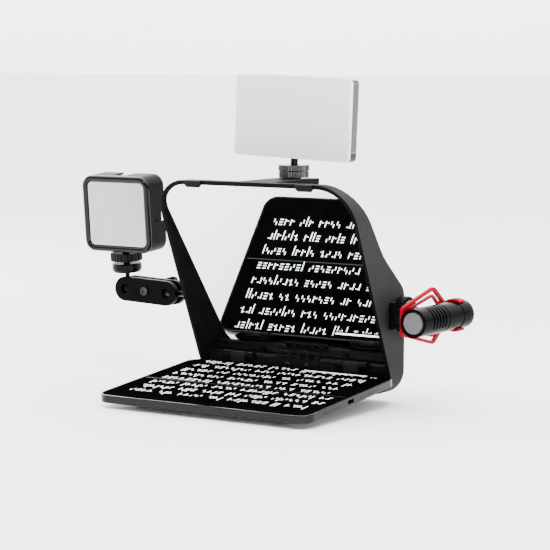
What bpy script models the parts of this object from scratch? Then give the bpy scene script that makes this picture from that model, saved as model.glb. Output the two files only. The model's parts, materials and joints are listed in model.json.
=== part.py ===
"""Teleprompter: hood with beam-splitter glass, folding tray with a tablet, two lights and a microphone.

Everything is in metres with +Z up. The presenter stands at -Y and the lens looks in from +Y. The origin is
on the lens axis, where the front rim of the lens seats on the adapter ring. Parts are laid out from a second
point, the datum: the middle of the tablet in X, its near edge in Y and its screen's far edge in Z.
"""
import math

import bmesh
import bpy
from mathutils import Vector

# ---------------------------------------------------------------- driving dimensions
DATUM = Vector((0.0, -0.1703, -0.0660))     # the datum, seen from the lens axis
GAP = 0.0003                                # clearance between neighbouring pieces

# hood
HOOD_WIDTH = 0.1832
HOOD_TOP = 0.1527
HOOD_BOTTOM = -0.0170
HOOD_WALL = 0.0032
HOOD_TOP_RADIUS = 0.0300
HOOD_BOTTOM_RADIUS = 0.0200
HOOD_BACK = 0.1568
CUT_LOW = HOOD_BOTTOM - 0.0030              # the side outlines reach a little past the loop
CUT_HIGH = HOOD_TOP + 0.0030
LOOP_DEPTH = 0.1600                         # length of the blank that the loop is trimmed from
LOOP_MIDDLE = 0.1120
FRONT_AT_SCREEN = 0.1355                    # front edge of the hood at the height of the screen
FRONT_LEAN = 0.43                           # how far it leans forward for each unit it rises
GLASS_AT_SCREEN = 0.1576
GLASS_LEAN = 0.575
GLASS_THICK = 0.0016
GLASS_FOOT = 0.0080
BAR = HOOD_TOP - HOOD_WALL                  # underside of the top bar
APRON_FRONT = 0.1435
BLOCK_Z = 0.0046                            # middle of the slotted block in the apron
SHELL_THICK = 0.0018

# lens port
AXIS_Y = -DATUM.y                           # where the lens seats, seen from the datum
AXIS_Z = -DATUM.z
PORT_RADIUS = 0.0425
COLLAR_RADIUS = 0.0460
COLLAR_START = 0.1050                       # the collar's blank starts well inside the hood
COLLAR_BACK = 0.1660
SCREW_Y = 0.1600                            # thumb screw on top of the collar

# tray and tablet, in the tray's own frame with the hinge axis as its origin
HINGE = Vector((0.0, 0.1385, 0.0055))
TRAY_SLOPE = math.radians(5.5)
TABLET_WIDTH = 0.1954
TABLET_DEPTH = 0.1348
TABLET_THICK = 0.0063
TABLET_RADIUS = 0.0115
TABLET_FAR = -0.0042
TABLET_TOP = -0.0051
PAD_THICK = 0.0008
TRAY_THICK = 0.0026
TRAY_INSET = 0.0150                         # tray's near edge, behind the tablet's
HINGE_X = 0.0540
PIN_RADIUS = 0.0013
PIN_PLAY = 0.00005                          # running clearance between pin and bore
KEY_TALL = 0.0022
KEY_THICK = 0.0012
KEY_PROUD = 0.0005
SPEAKER_STARTS = (0.0240, 0.0782)           # two rows of holes, from the tablet's near edge
SPEAKER_STEP = 0.0039
TABLET_KEYS = (("power", -0.0300, 0.0100), ("volume_up", -0.0480, 0.0090), ("volume_down", -0.0600, 0.0090))

# cold shoes
FOOT_WIDTH = 0.0182
FOOT_THICK = 0.0016
SLOT_WIDTH = 0.0190
SLOT_MOUTH = 0.0130
SLOT_HALF = SLOT_WIDTH / 2
MOUTH_HALF = SLOT_MOUTH / 2
TOP_SLOT_FLOOR = 0.1494

# panel light on the top shoe
TONGUE_HALF = 0.0160
TONGUE_FRONT = 0.0765
TONGUE_BACK = 0.1500
TONGUE_THICK = 0.0050
PANEL_Y = 0.1370
PANEL_BOTTOM = 0.1690
PANEL_WIDTH = 0.1080
PANEL_HEIGHT = 0.0650
PANEL_LEAN = math.radians(2.5)
PANEL_TOP = PANEL_BOTTOM + PANEL_HEIGHT
PANEL_RADIUS = 0.0035
PANEL_KEY = Vector((0.0340, PANEL_Y + 0.0055, PANEL_TOP - 0.0085))
PANEL_DIAL = Vector((0.0130, PANEL_Y + 0.0060, PANEL_TOP - 0.0085))
SHAFT_RADIUS = 0.0040                       # threaded shaft that the lock rings turn on
RING_BORE = 0.0045
LOWER_RING_Z = HOOD_TOP + 0.0033
UPPER_RING_Z = HOOD_TOP + 0.0085
SHAFT_TOP = HOOD_TOP + 0.0078
STUD_PIVOT = HOOD_TOP + 0.0108

# small light on the ball arm
HOOD_BALL = Vector((-0.1140, 0.1260, 0.0543))
LIGHT_BALL = Vector((-0.1560, 0.1260, 0.0560))
BALL_RADIUS = 0.0065
BALL_PLAY = 0.0002
ARM_RADIUS = 0.0102
ARM_GAP = 0.0060                            # between the two cheeks, where the balls' necks pass
CHEEK_THICK = 0.0050
CUBE_WIDTH = 0.0680
CUBE_HEIGHT = 0.0640
CUBE_DEPTH = 0.0240
CUBE_BOTTOM = 0.0880
CUBE_PITCH = math.radians(5.0)
LIGHT_X = LIGHT_BALL.x - 0.0020             # the small light stands a little left of its ball
CUBE_RING_Z = 0.0830
CUBE_KEY = Vector((LIGHT_X - 0.0150, LIGHT_BALL.y + 0.0107, CUBE_BOTTOM + CUBE_HEIGHT / 2 + 0.0080))

# microphone on the side shoe
SIDE_SHOE = Vector((HOOD_WIDTH / 2, 0.1423, 0.0490))
SHOE_FLOOR = 0.0012                         # thickness of the side shoe under its slot
NUT_X = 0.1000
MOUNT_X = 0.1085
MOUNT_THICK = 0.0018
MIC_AXIS = Vector((0.1242, 0.0, 0.0463))
MIC_FRONT = 0.1123
MIC_LENGTH = 0.0810
MIC_RADIUS = 0.0113

FINISHES = {
    # name: (colour, roughness, metallic)
    "black_metal": ((0.020, 0.020, 0.021), 0.45, 0.3),
    "grey_metal": ((0.105, 0.105, 0.110), 0.42, 0.4),
    "tablet_metal": ((0.075, 0.075, 0.080), 0.35, 0.8),
    "black_plastic": ((0.022, 0.022, 0.023), 0.50, 0.0),
    "gloss_black": ((0.008, 0.008, 0.009), 0.10, 0.0),
    "mirror_glass": ((0.900, 0.910, 0.910), 0.02, 1.0),
    "screen_glass": ((0.004, 0.004, 0.005), 0.06, 0.0),
    "diffuser": ((0.860, 0.860, 0.870), 0.55, 0.0),
    "grey_diffuser": ((0.620, 0.620, 0.640), 0.50, 0.0),
    "aluminium": ((0.300, 0.300, 0.310), 0.38, 0.9),
    "steel": ((0.520, 0.520, 0.530), 0.30, 1.0),
    "mesh_grey": ((0.330, 0.330, 0.335), 0.55, 0.6),
    "red_plastic": ((0.620, 0.012, 0.020), 0.40, 0.0),
    "rubber": ((0.015, 0.015, 0.015), 0.80, 0.0),
    "board": ((0.700, 0.700, 0.660), 0.60, 0.0),
    "cell": ((0.240, 0.250, 0.270), 0.50, 0.2),
}

# ---------------------------------------------------------------- scene and placing


def clear_scene():
    for thing in list(bpy.data.objects):
        bpy.data.objects.remove(thing, do_unlink=True)


def new_collection(name):
    group = bpy.data.collections.new(name)
    bpy.context.scene.collection.children.link(group)
    return group


def finish(name):
    """The material of a finish, made the first time it is asked for."""
    found = bpy.data.materials.get(name)
    if found:
        return found
    colour, roughness, metallic = FINISHES[name]
    made = bpy.data.materials.new(name)
    made.use_nodes = True
    shader = made.node_tree.nodes["Principled BSDF"]
    shader.inputs["Base Color"].default_value = (*colour, 1.0)
    shader.inputs["Roughness"].default_value = roughness
    shader.inputs["Metallic"].default_value = metallic
    made.diffuse_color = (*colour, 1.0)
    return made


def empty(name, at, turn=(0, 0, 0), parent=None):
    """A joint's frame: an empty on its axis, which the moving pieces hang from."""
    pivot = bpy.data.objects.new(name, None)
    pivot.empty_display_size = 0.01
    PARTS.objects.link(pivot)
    pivot.parent = parent or datum
    pivot.location = Vector(at) - origin_of(parent)
    pivot.rotation_euler = turn
    ORIGINS[name] = Vector(at)
    return pivot


def origin_of(parent):
    """Where a parent stands in the datum frame, before any slope or lean of its own."""
    return ORIGINS[parent.name] if parent else Vector((0, 0, 0))


FACING = {
    "Z": (0, 0, 0),
    "Y": (math.pi / 2, 0, 0),
    "X": (math.pi / 2, 0, math.pi / 2),
}
AWAY = {"Z": Vector((0, 0, 1)), "X": Vector((1, 0, 0))}


def place(name, mesh, at, look, parent=None, facing="Z"):
    """Put a mesh in the assembly under a name, with a finish, at a point of the datum frame."""
    mesh.shade_smooth()
    mesh.set_sharp_from_angle(angle=math.radians(32))
    piece = bpy.data.objects.new(name, mesh)
    PARTS.objects.link(piece)
    if look:
        mesh.materials.append(finish(look))
    piece.parent = parent or datum
    piece.location = Vector(at) - origin_of(parent)
    piece.rotation_euler = FACING[facing]
    return piece


def boolean(target, tool, operation):
    """Cut, join or trim target by tool, which moves to the collection of cutters."""
    PARTS.objects.unlink(tool)
    CUTTERS.objects.link(tool)
    tool.hide_render = True
    tool.display_type = "WIRE"
    step = target.modifiers.new(tool.name, "BOOLEAN")
    step.operation = operation
    step.object = tool
    step.solver = "EXACT"


def cut(target, *tools):
    for tool in tools:
        boolean(target, tool, "DIFFERENCE")


def join(target, *tools):
    for tool in tools:
        boolean(target, tool, "UNION")


def trim(target, *tools):
    for tool in tools:
        boolean(target, tool, "INTERSECT")


def bevel(piece, width, segments=2, angle=35):
    step = piece.modifiers.new("edges", "BEVEL")
    step.width = width
    step.segments = segments
    step.limit_method = "ANGLE"
    step.angle_limit = math.radians(angle)


# ---------------------------------------------------------------- shapes


def rounded(corners, step=math.radians(15)):
    """An outline from corners (u, v, radius), each turned into an arc of that radius."""
    points = []
    count = len(corners)
    for index, (u, v, radius) in enumerate(corners):
        here = Vector((u, v))
        if radius == 0:
            points.append((u, v))
            continue
        back = (Vector(corners[index - 1][:2]) - here).normalized()
        ahead = (Vector(corners[(index + 1) % count][:2]) - here).normalized()
        inside = back.angle(ahead)
        centre = here + (back + ahead).normalized() * radius / math.sin(inside / 2)
        spoke = here + back * radius / math.tan(inside / 2) - centre
        sweep = math.pi - inside
        way = 1 if back.x * ahead.y - back.y * ahead.x < 0 else -1
        steps = max(1, round(sweep / step))
        for k in range(steps + 1):
            turn = way * sweep * k / steps
            points.append((centre.x + spoke.x * math.cos(turn) - spoke.y * math.sin(turn),
                           centre.y + spoke.x * math.sin(turn) + spoke.y * math.cos(turn)))
    return points


def rectangle(width, height, radius=0.0, centre=(0, 0), step=math.radians(15)):
    u, v = centre
    corners = [(u - width / 2, v - height / 2), (u + width / 2, v - height / 2),
               (u + width / 2, v + height / 2), (u - width / 2, v + height / 2)]
    return rounded([(*corner, radius) for corner in corners], step)


def sector(inner, outer, start, end, steps=12):
    """Part of a ring, from one angle to another in degrees."""
    turns = [math.radians(start + (end - start) * k / steps) for k in range(steps + 1)]
    rim = [(outer * math.cos(turn), outer * math.sin(turn)) for turn in turns]
    return rim + [(inner * math.cos(turn), inner * math.sin(turn)) for turn in reversed(turns)]


def circle(radius, sides=32, centre=(0, 0)):
    return [(centre[0] + radius * math.cos(2 * math.pi * k / sides),
             centre[1] + radius * math.sin(2 * math.pi * k / sides)) for k in range(sides)]


def stadium(reach, radius, steps=12):
    """Two half circles a distance apart, centred on the origin: the outline of a link or a slot."""
    points = []
    for side, start in ((1, -90), (-1, 90)):
        for k in range(steps + 1):
            turn = math.radians(start + 180 * k / steps)
            points.append((side * reach / 2 + radius * math.cos(turn), radius * math.sin(turn)))
    return points


def knurl(radius, depth, ridges):
    """A toothed circle: the outline of a knurled rim."""
    points = []
    for k in range(2 * ridges):
        reach = radius - depth * (k % 2)
        points.append((reach * math.cos(math.pi * k / ridges), reach * math.sin(math.pi * k / ridges)))
    return points


def plate(name, outlines, thickness, at, look, parent=None, facing="Z"):
    """A flat plate from outlines, the first the rim and the others holes, centred on its thickness."""
    curve = bpy.data.curves.new(name + "_outline", "CURVE")
    curve.dimensions = "2D"
    curve.fill_mode = "BOTH"
    curve.extrude = thickness / 2
    for outline in outlines:
        spline = curve.splines.new("POLY")
        spline.points.add(len(outline) - 1)
        for point, (u, v) in zip(spline.points, outline):
            point.co = (u, v, 0, 1)
        spline.use_cyclic_u = True
    return from_curve(name, curve, at, look, parent, facing)


def from_curve(name, curve, at, look, parent=None, facing="Z"):
    """Turn a curve into a closed mesh with welded caps, and place it."""
    guide = bpy.data.objects.new(name + "_guide", curve)
    PARTS.objects.link(guide)
    bpy.context.view_layer.update()
    seen = guide.evaluated_get(bpy.context.evaluated_depsgraph_get())
    mesh = bpy.data.meshes.new_from_object(seen)
    bpy.data.objects.remove(guide, do_unlink=True)
    shape = bmesh.new()
    shape.from_mesh(mesh)
    bmesh.ops.remove_doubles(shape, verts=shape.verts, dist=1e-6)
    bmesh.ops.recalc_face_normals(shape, faces=shape.faces)
    shape.to_mesh(mesh)
    shape.free()
    mesh.name = name
    mesh.materials.clear()
    return place(name, mesh, at, look, parent, facing)


def mesh_of(name, shape):
    mesh = bpy.data.meshes.new(name)
    shape.to_mesh(mesh)
    shape.free()
    return mesh


def box(name, size, at, look, parent=None):
    """A block of a size (x, y, z) centred on a point."""
    shape = bmesh.new()
    bmesh.ops.create_cube(shape, size=1.0)
    bmesh.ops.scale(shape, vec=size, verts=shape.verts)
    return place(name, mesh_of(name, shape), at, look, parent)


def span(name, low, high, look, parent=None):
    """A block from its lowest to its highest corner."""
    low, high = Vector(low), Vector(high)
    return box(name, high - low, (low + high) / 2, look, parent)


def rod(name, radius, length, at, look, parent=None, facing="Z", sides=24):
    """A cylinder centred on a point."""
    shape = bmesh.new()
    bmesh.ops.create_cone(shape, cap_ends=True, segments=sides, radius1=radius,
                          radius2=radius, depth=length)
    return place(name, mesh_of(name, shape), at, look, parent, facing)


def ball(name, radius, at, look, parent=None):
    shape = bmesh.new()
    bmesh.ops.create_uvsphere(shape, u_segments=16, v_segments=10, radius=radius)
    return place(name, mesh_of(name, shape), at, look, parent)


def turned(name, profile, at, look, parent=None, facing="Z", steps=24):
    """A lathe part: profile points (radius, height), down the outer side from top to bottom."""
    mesh = bpy.data.meshes.new(name)
    edges = [(k, k + 1) for k in range(len(profile) - 1)]
    mesh.from_pydata([(radius, 0, height) for radius, height in profile], edges, [])
    piece = place(name, mesh, at, look, parent, facing)
    lathe = piece.modifiers.new("lathe", "SCREW")
    lathe.angle = 2 * math.pi
    lathe.steps = steps
    lathe.render_steps = steps
    lathe.use_merge_vertices = True
    lathe.merge_threshold = 0.00001
    lathe.use_smooth_shade = True
    return piece


# ---------------------------------------------------------------- hood


def front_y(z):
    return FRONT_AT_SCREEN - FRONT_LEAN * z


def glass_y(z):
    return GLASS_AT_SCREEN - GLASS_LEAN * z


def loop_outline(inset):
    """The hood seen from the front: straight sides, wide top corners and tighter bottom ones."""
    side = HOOD_WIDTH / 2 - inset
    low, high = HOOD_BOTTOM + inset, HOOD_TOP - inset
    return rounded([(-side, low, HOOD_BOTTOM_RADIUS - inset), (side, low, HOOD_BOTTOM_RADIUS - inset),
                    (side, high, HOOD_TOP_RADIUS - inset), (-side, high, HOOD_TOP_RADIUS - inset)],
                   math.radians(10))


def back_corners():
    """The hood's rear edge seen from the side, bottom to top: upright, then leaning forward."""
    return [(HOOD_BACK, CUT_LOW, 0), (HOOD_BACK, 0.0666, 0.0150), (0.1234, 0.0949, 0.0600),
            (0.0800, CUT_HIGH, 0)]


def lining(name):
    """The space inside the loop, which trims the pieces that fill it."""
    return plate(name, [loop_outline(HOOD_WALL + GAP)], LOOP_DEPTH, (0, LOOP_MIDDLE, 0), None, facing="Y")


def hood_frame():
    frame = plate("hood_frame", [loop_outline(0), loop_outline(HOOD_WALL)], LOOP_DEPTH,
                  (0, LOOP_MIDDLE, 0), "grey_metal", facing="Y")
    side = rounded([(front_y(CUT_LOW), CUT_LOW, 0), *back_corners(), (front_y(CUT_HIGH), CUT_HIGH, 0)],
                   math.radians(8))
    trim(frame, plate("hood_side", [side], 0.20, (0, 0, 0), None, facing="X"))
    tongue = [(TONGUE_FRONT, BAR), (0.0895, BAR), (0.0915, HOOD_TOP - TONGUE_THICK),
              (TONGUE_BACK, HOOD_TOP - TONGUE_THICK), (TONGUE_BACK, HOOD_TOP), (TONGUE_FRONT, HOOD_TOP)]
    join(frame, plate("tongue", [tongue], 2 * TONGUE_HALF, (0, 0, 0), None, facing="X"))
    cut(frame,
        span("top_slot", (-SLOT_HALF, 0.120, TOP_SLOT_FLOOR), (SLOT_HALF, 0.151, 0.1517), None),
        span("top_mouth", (-MOUTH_HALF, 0.120, 0.1510), (MOUTH_HALF, 0.151, 0.1540), None))


def rear_shell():
    """The cover behind the glass: a bent sheet inside the loop, with a round collar for the lens."""
    half = HOOD_WIDTH / 2
    path = rounded(back_corners(), math.radians(8))
    shape = bmesh.new()
    left = [shape.verts.new((-half, y, z)) for y, z in path]
    right = [shape.verts.new((half, y, z)) for y, z in path]
    for k in range(len(path) - 1):
        shape.faces.new((left[k], left[k + 1], right[k + 1], right[k]))
    mesh = bpy.data.meshes.new("rear_shell")
    shape.to_mesh(mesh)
    shape.free()
    shell = place("rear_shell", mesh, (0, 0, 0), "black_plastic")
    sheet = shell.modifiers.new("thickness", "SOLIDIFY")
    sheet.thickness = SHELL_THICK
    sheet.offset = -1.0
    trim(shell, lining("shell_trim"))
    middle = (0, (COLLAR_BACK + COLLAR_START) / 2, AXIS_Z)
    collar = rod("collar", COLLAR_RADIUS, COLLAR_BACK - COLLAR_START, middle, None, facing="Y", sides=36)
    inner = [(y - 0.001, z) for y, z in path]
    hollow = plate("collar_trim", [[(0.05, path[0][1]), *inner, (0.05, path[-1][1])]], 0.30,
                   (0, 0, 0), None, facing="X")
    cut(collar, hollow)
    join(shell, collar)
    cut(shell, rod("port", PORT_RADIUS, 0.10, (0, 0.130, AXIS_Z), None, facing="Y", sides=36),
        rod("screw_hole", 0.0021, 0.012, (0, SCREW_Y, AXIS_Z + 0.044), None, sides=16))


def adapter_ring():
    """The knurled ring between lens and collar. Its rear shoulder is where the lens rim seats."""
    seat = AXIS_Y
    ring = plate("adapter_ring", [knurl(0.0450, 0.0006, 40), circle(0.0385, 36)], 0.0040,
                 (0, seat - 0.0020, AXIS_Z), "black_metal", adapter_axis, "Y")
    join(ring, plate("adapter_spigot", [circle(0.0421, 36), circle(0.0385, 36)], 0.0100,
                     (0, seat - 0.0085, AXIS_Z), None, adapter_axis, "Y"),
         plate("adapter_thread", [circle(0.0408, 36), circle(0.0385, 36)], 0.0060,
               (0, seat + 0.0008, AXIS_Z), None, adapter_axis, "Y"))


def collar_screw():
    """The thumb screw on top of the collar, which locks the adapter ring."""
    base = AXIS_Z + COLLAR_RADIUS + 0.0007
    screw = plate("collar_screw", [knurl(0.0060, 0.0005, 16)], 0.0070, (0, SCREW_Y, base + 0.0035),
                  "steel", screw_axis)
    join(screw, rod("collar_screw_shank", 0.0018, 0.0040, (0, SCREW_Y, base - 0.0007), None,
                    screw_axis, sides=12))


def beam_splitter():
    foot, top = GLASS_FOOT, BAR - GAP
    run = GLASS_THICK * math.hypot(1, GLASS_LEAN)
    section = [(glass_y(foot), foot), (glass_y(foot) + run, foot), (glass_y(top) + run, top),
               (glass_y(top), top)]
    glass = plate("beam_splitter_glass", [section], HOOD_WIDTH - 2 * HOOD_WALL - 4 * GAP, (0, 0, 0),
                  "mirror_glass", facing="X")
    trim(glass, lining("glass_trim"))


def glass_clip(name, x):
    """An upper clip: a chamfered tab on the front of the top bar that overlaps the glass."""
    tall = 0.0056
    middle = HOOD_TOP - tall / 2
    tab = [(-0.0061, -tall / 2), (0.0061, -tall / 2), (0.0077, -tall / 2 + 0.0018), (0.0077, tall / 2),
           (-0.0077, tall / 2), (-0.0077, -tall / 2 + 0.0018)]
    thick = 0.0014
    clip = plate(name, [tab], thick, (x, front_y(middle) - thick / 2 - 0.0007, middle), "black_metal",
                 facing="Y")
    clip.rotation_euler.x += math.atan(FRONT_LEAN)


def lower_clip(name, x):
    """A small lower clip on the apron, in front of the foot of the glass."""
    face, sole = glass_y(GLASS_FOOT) - 0.0004, GLASS_FOOT - 0.0006
    tall, deep, lip = 0.0046, 0.0036, 0.0016
    lean = tall * GLASS_LEAN
    section = [(face - deep, sole), (face, sole), (face - lean, sole + tall),
               (face - lean - lip, sole + tall), (face - deep, sole + lip)]
    plate(name, [section], 0.0030, (x, 0, 0), "black_plastic", facing="X")


def apron():
    """The inner floor between the tray hinge and the foot of the glass, with a pocket for a block."""
    low = HOOD_BOTTOM + HOOD_WALL + GAP
    top = GLASS_FOOT - 0.0010
    back = HOOD_BACK - SHELL_THICK - GAP
    section = rounded([(APRON_FRONT, low, 0), (back, low, 0), (back, top, 0), (0.1464, top, 0.0010),
                       (APRON_FRONT, 0.0056, 0.0010)], math.radians(20))
    floor = plate("apron", [section], HOOD_WIDTH, (0, 0, 0), "black_plastic", facing="X")
    trim(floor, lining("apron_trim"))
    cut(floor, span("block_pocket", (-0.0204, 0.1400, -0.0050), (0.0204, APRON_FRONT + 0.0024, 0.0200), None))


def slotted_block():
    """The block set in the apron, with four slots over two screws."""
    slots = [rectangle(0.0064, 0.0046, 0.0006, (-0.0132 + 0.0088 * k, 0.0030)) for k in range(4)]
    screw_holes = [circle(0.0016, 12, (x, -0.0038)) for x in (-0.0090, 0.0090)]
    plate("slotted_block", [rectangle(0.0400, 0.0140, 0.0010), *slots, *screw_holes], 0.0020,
          (0, APRON_FRONT + 0.0010, BLOCK_Z), "black_plastic", facing="Y")


def block_screw(name, x):
    y, z = APRON_FRONT - GAP, BLOCK_Z - 0.0038
    screw = rod(name, 0.0025, 0.0012, (x, y - 0.0006, z), "steel", facing="Y", sides=16)
    join(screw, rod(name + "_shank", 0.0013, 0.0020, (x, y + 0.0005, z), None, facing="Y", sides=12))


def hinge_bracket(name, x):
    """The hood's half of a tray hinge: two ears on a back plate, bored for the pin."""
    reach, back, wide = 0.0030, 0.1432, 0.0068
    low, high = HINGE.z - reach, HINGE.z + 0.0020
    nose = [(HINGE.y + reach * math.cos(math.radians(a)), HINGE.z + reach * math.sin(math.radians(a)))
            for a in range(75, 271, 15)]
    outline = [(back, low), (back, high), *nose]
    bracket = plate(name, [outline], wide, (x - 0.0107, 0, 0), "black_metal", facing="X")
    other = plate(name + "_ear", [outline], wide, (x + 0.0107, 0, 0), None, facing="X")
    web = span(name + "_web", (x - 0.0141, 0.1421, low), (x + 0.0141, back, high), None)
    join(bracket, other, web)
    cut(bracket, rod(name + "_bore", PIN_RADIUS + PIN_PLAY, 0.04, (x, HINGE.y, HINGE.z), None, facing="X",
                     sides=16))


def side_shoe():
    """The cold shoe on the right wall, which holds the microphone's foot."""
    x, y, z = SIDE_SHOE
    wide, sole, above = 0.0220, z - 0.0100, z + 0.0200
    shoe = span("side_shoe", (x + GAP, y - wide / 2, sole - 0.0018), (x + 0.0046, y + wide / 2, z + 0.0098),
                "black_metal")
    cut(shoe,
        span("side_slot", (x + SHOE_FLOOR, y - SLOT_HALF, sole), (x + 0.0034, y + SLOT_HALF, above), None),
        span("side_mouth", (x + 0.0032, y - MOUTH_HALF, sole), (x + 0.0060, y + MOUTH_HALF, above), None))


# ---------------------------------------------------------------- tray and tablet


def on_tray(x, y, z):
    return HINGE + Vector((x, y, z))


def tray_plate():
    """The folding tray: a rounded plate under the tablet with two upright hinge leaves."""
    top = TABLET_TOP - TABLET_THICK - PAD_THICK - 2 * GAP
    near, far = TABLET_FAR - TABLET_DEPTH + TRAY_INSET, -0.0012
    outline = rounded([(-0.0850, near, 0.012), (0.0850, near, 0.012), (0.0850, far, 0.008),
                       (-0.0850, far, 0.008)])
    tray = plate("tray_plate", [outline], TRAY_THICK, on_tray(0, 0, top - TRAY_THICK / 2), "grey_metal",
                 tray_axis)
    for side, x in (("left", -HINGE_X), ("right", HINGE_X)):
        leaf = [(-0.0030, top - 0.001), (-0.0012, top - 0.001), (-0.0012, -0.0020), (0.0020, -0.0020),
                *[(0.0029 * math.cos(math.radians(a)), 0.0029 * math.sin(math.radians(a)))
                  for a in range(-30, 181, 15)]]
        join(tray, plate("leaf_" + side, [leaf], 0.0138, on_tray(x, 0, 0), None, tray_axis, "X"))
        cut(tray, rod("leaf_bore_" + side, PIN_RADIUS + PIN_PLAY, 0.03, on_tray(x, 0, 0), None, tray_axis, "X",
                      sides=16))


def tray_pad():
    top = TABLET_TOP - TABLET_THICK - GAP
    outline = rectangle(0.1560, 0.1000, 0.008, (0, TABLET_FAR - TABLET_DEPTH / 2 + 0.0040))
    plate("tray_pad", [outline], PAD_THICK, on_tray(0, 0, top - PAD_THICK / 2), "rubber", tray_axis)


def hinge_pin(name, x):
    rod(name, PIN_RADIUS, 0.0284, (x, HINGE.y, HINGE.z), "steel", facing="X", sides=16)


def tray_grip(name, x):
    """A rubber foot under the tray's near corner."""
    tall = 0.0016
    y = TABLET_FAR - TABLET_DEPTH + TRAY_INSET + 0.0120
    top = TABLET_TOP - TABLET_THICK - PAD_THICK - TRAY_THICK - 3 * GAP
    rod(name, 0.0045, tall, on_tray(x, y, top - tall / 2), "rubber", tray_axis, sides=16)


def tablet_case():
    """The tablet's metal back: a shallow open box with key holes, a socket and two rows of speaker holes."""
    middle = (0, TABLET_FAR - TABLET_DEPTH / 2)
    case = plate("tablet_case", [rectangle(TABLET_WIDTH, TABLET_DEPTH, TABLET_RADIUS, middle)], TABLET_THICK,
                 on_tray(0, 0, TABLET_TOP - TABLET_THICK / 2), "tablet_metal", tray_axis)
    bevel(case, 0.0010, 2, 60)
    wall = 0.0015
    room = rectangle(TABLET_WIDTH - 2 * wall, TABLET_DEPTH - 2 * wall, TABLET_RADIUS - wall, middle)
    room_middle = TABLET_TOP - TABLET_THICK / 2 + wall
    cut(case, plate("case_room", [room], TABLET_THICK, on_tray(0, 0, room_middle), None, tray_axis))
    level = TABLET_TOP - TABLET_THICK / 2
    side = TABLET_WIDTH / 2
    near = TABLET_FAR - TABLET_DEPTH
    socket = rectangle(0.0090, 0.0031, 0.0015, (near + 0.474 * TABLET_DEPTH, 0))
    cut(case, plate("case_socket", [socket], 0.012, on_tray(side, 0, level), None, tray_axis, "X"))
    rows = [near + start + SPEAKER_STEP * k for start in SPEAKER_STARTS for k in range(7)]
    cut(case, plate("speaker_holes", [circle(0.0006, 8, (y, 0)) for y in rows], 0.0060,
                    on_tray(side, 0, level), None, tray_axis, "X"))
    for key, y, length in TABLET_KEYS:
        cut(case, plate("key_hole_" + key, [rectangle(length + 2 * GAP, KEY_TALL + 2 * GAP, 0.0013)], 0.0050,
                        on_tray(-side, y, level), None, tray_axis, "X"))


def tablet_screen():
    middle = (0, TABLET_FAR - TABLET_DEPTH / 2)
    wide, deep = TABLET_WIDTH - 0.0036, TABLET_DEPTH - 0.0036
    plate("tablet_screen", [rectangle(wide, deep, TABLET_RADIUS - 0.0018, middle)], 0.0009,
          on_tray(0, 0, TABLET_TOP - 0.0006), "screen_glass", tray_axis)


def tablet_battery():
    near = TABLET_FAR - TABLET_DEPTH
    low = TABLET_TOP - TABLET_THICK + 0.0015 + GAP
    span("tablet_battery", on_tray(-0.0550, near + 0.020, low), on_tray(0.0550, near + 0.115, low + 0.0028),
         "cell", tray_axis)


def tablet_key(name, y, length, pivot):
    """A sprung key in a hole of the tablet's left short side, standing a little proud of it."""
    middle = -TABLET_WIDTH / 2 - KEY_PROUD + KEY_THICK / 2
    level = TABLET_TOP - TABLET_THICK / 2
    plate(name, [rectangle(length, KEY_TALL, 0.0010)], KEY_THICK, on_tray(middle, y, level), "tablet_metal",
          pivot, "X")


# ---------------------------------------------------------------- panel light


def shoe_foot(name, at, parent, across, height, facing="Z"):
    """A shoe foot: a square plate with a round stem up to a height over its underside."""
    stem = height - FOOT_THICK / 2
    square = rectangle(FOOT_WIDTH, FOOT_WIDTH, 0.0010)
    foot = plate(name, [square], FOOT_THICK, at, "black_metal", parent, facing)
    middle = Vector(at) + AWAY[facing] * (stem / 2)
    join(foot, rod(name + "_stem", across, stem, middle, None, parent, facing, 24))
    return foot


def lock_ring(name, radius, height, at, parent, facing="Z", hole=0.0034, ridges=24):
    """A knurled lock nut: a toothed ring with a round hole."""
    plate(name, [knurl(radius, 0.0007, ridges), circle(hole, 16)], height, at, "black_metal", parent, facing)


def panel_light():
    """The flat light over the top shoe, on its leaning stud."""
    y, bottom = PANEL_Y, PANEL_BOTTOM
    middle = bottom + PANEL_HEIGHT / 2
    housing = plate("panel_housing", [rectangle(PANEL_WIDTH, PANEL_HEIGHT, PANEL_RADIUS)], 0.0085,
                    (0, y + 0.0018, middle), "aluminium", panel_axis, "Y")
    cut(housing,
        plate("panel_room", [rectangle(PANEL_WIDTH - 0.0036, PANEL_HEIGHT - 0.0036, 0.0020)], 0.0085,
              (0, y + 0.0003, middle), None, panel_axis, "Y"),
        rod("panel_socket", 0.0032, 0.0200, (0, y + 0.0005, bottom), None, panel_axis, sides=16),
        box("panel_key_hole", (0.0084, 0.0060, 0.0044), PANEL_KEY, None, panel_axis),
        rod("panel_dial_hole", 0.0053, 0.0060, PANEL_DIAL, None, panel_axis, "Y"))
    diffuser = plate("panel_diffuser", [rectangle(PANEL_WIDTH, PANEL_HEIGHT, PANEL_RADIUS)], 0.0034,
                     (0, y + 0.0018 - 0.00425 - GAP - 0.0017, middle), "diffuser", panel_axis, "Y")
    bevel(diffuser, 0.0014, 3, 60)
    plate("panel_led_board", [rectangle(PANEL_WIDTH - 0.0050, PANEL_HEIGHT - 0.0220, 0.0050)], 0.0014,
          (0, y - 0.0012, middle + 0.0040), "board", panel_axis, "Y")
    box("panel_battery", (0.0620, 0.0030, 0.0340), (0, y + 0.0024, middle + 0.0010), "cell", panel_axis)
    rod("panel_stud", 0.0030, 0.0130, (0, y + 0.0005, bottom - 0.0015), "black_metal", panel_axis, sides=16)
    box("panel_key", (0.0080, 0.0034, 0.0040), PANEL_KEY, "gloss_black", panel_key_axis)
    rod("panel_dial", 0.0050, 0.0034, PANEL_DIAL, "black_metal", panel_dial_axis, "Y")


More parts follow.
